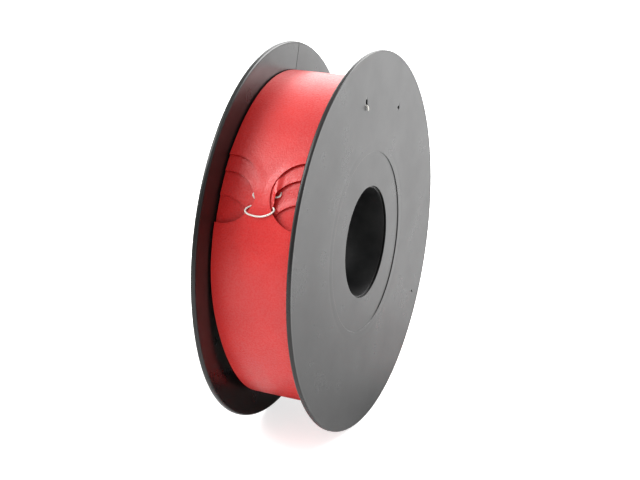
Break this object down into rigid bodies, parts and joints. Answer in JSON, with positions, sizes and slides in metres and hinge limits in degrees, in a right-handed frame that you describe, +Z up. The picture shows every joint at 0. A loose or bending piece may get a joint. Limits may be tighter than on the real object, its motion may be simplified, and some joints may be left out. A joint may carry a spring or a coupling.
{
  "type": "string reel",
  "caption": "Flanged reel of racket string on a ribbed hollow drum, wrapped in a notched plastic sheet that turns on the winding to let the string out.",
  "frame": {"origin": "middle of the spindle bore, on its axis and halfway between the two flanges", "axes": "+Y along the bore, out of the near flange, the one with the string's slot; +Z up with the reel standing on its rims; +X towards the side where the string comes out of the cover"},
  "size_m": [0.16, 0.044, 0.16],
  "materials": {
    "flange_plastic": "satin moulded",
    "drum_plastic": "matt moulded",
    "string": "glossy, slightly clear nylon",
    "cover_plastic": "satin, finely grained sheet"
  },
  "bodies": {
    "reel": {"near_flange": "flange_plastic", "far_flange": "flange_plastic", "drum": "drum_plastic", "string_winding": "string", "string_outer_layer": "string", "string_inner_end": "string"},
    "cover": {"cover_sheet": "cover_plastic", "string_tail": "string"}
  },
  "joints": [
    {"name": "cover_turn", "type": "hinge", "parent": "reel", "child": "cover", "pos_m": [0, 0, 0], "axis": [0, 1, 0], "continuous": true}
  ]
}
